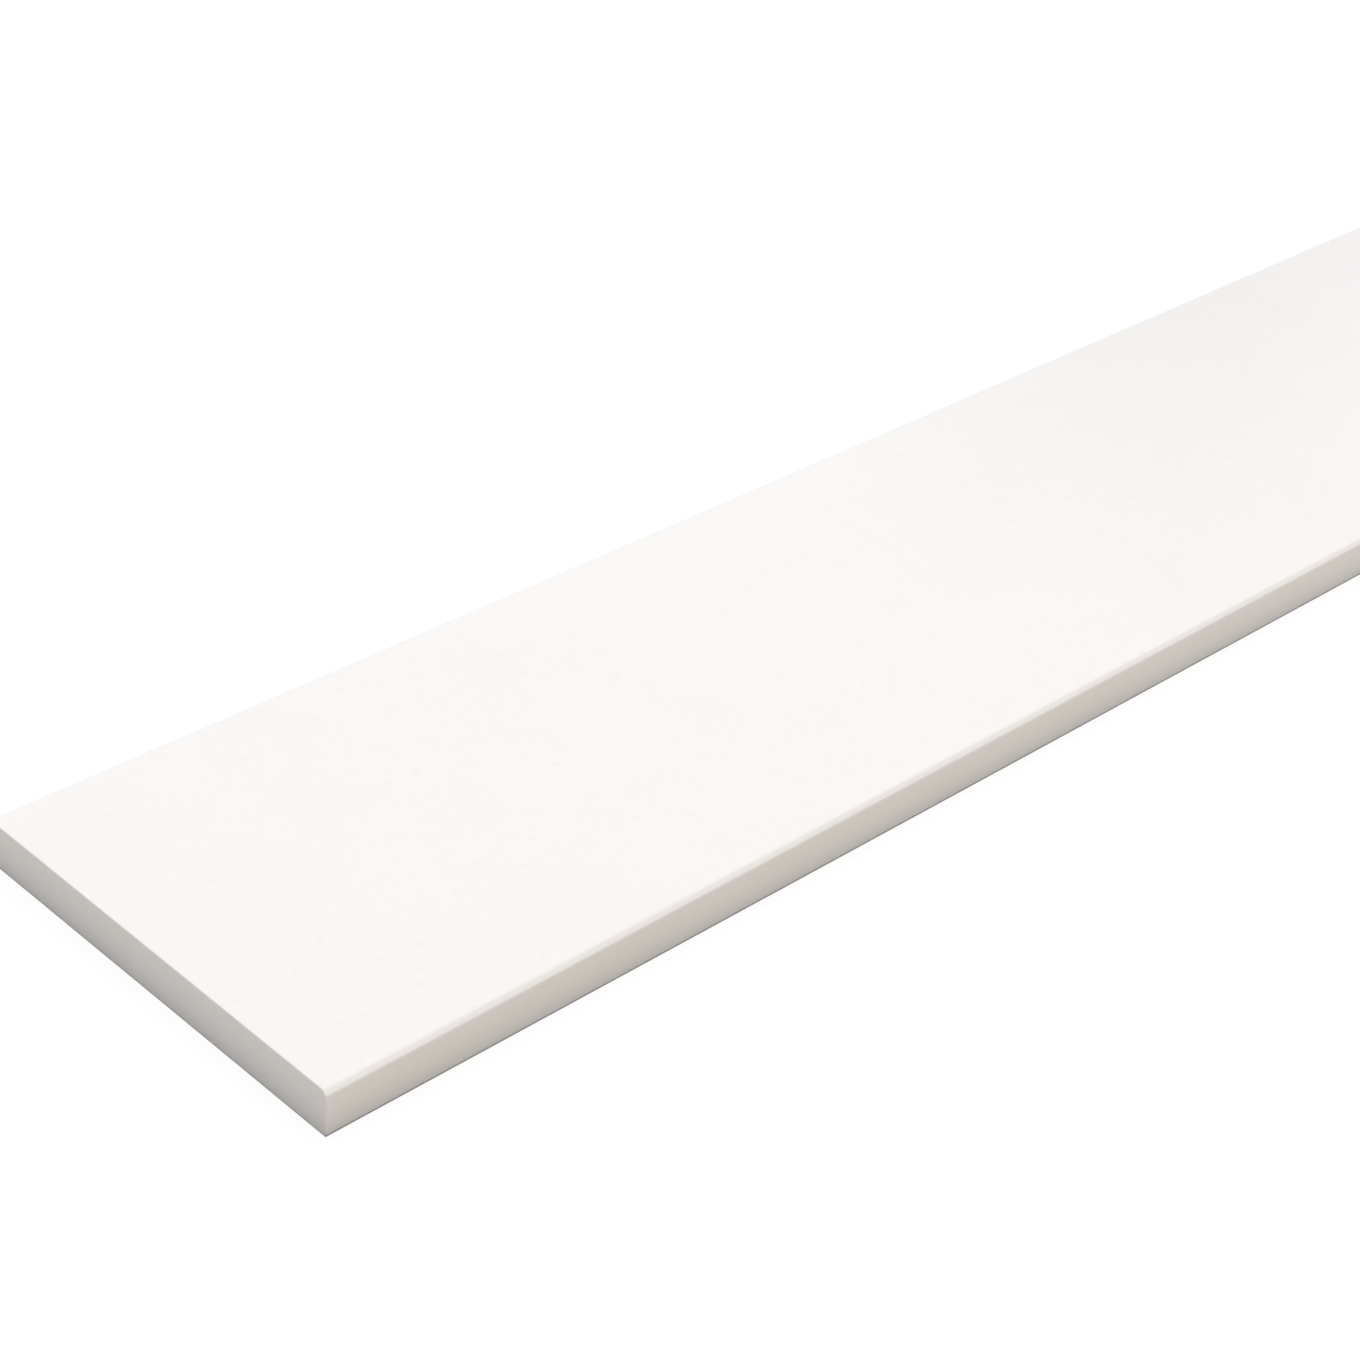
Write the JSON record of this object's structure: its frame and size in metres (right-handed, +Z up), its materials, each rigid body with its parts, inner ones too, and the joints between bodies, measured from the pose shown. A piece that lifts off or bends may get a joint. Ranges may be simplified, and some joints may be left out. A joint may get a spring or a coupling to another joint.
{
  "type": "window sill board",
  "caption": "Flat window sill board of white polished composite marble, with a small bevel along the front's upper edge, square-cut ends and a plain underside.",
  "frame": {"origin": "middle of the underside, on the surface that the board lies on", "axes": "+X along the board's length, +Y across its width from the bevelled front edge to the back edge at the window, +Z up out of the polished face"},
  "size_m": [1.26, 0.2, 0.02],
  "materials": {
    "polished_marble": "polished"
  },
  "bodies": {
    "root": {"sill_board": "polished_marble"}
  },
  "joints": []
}
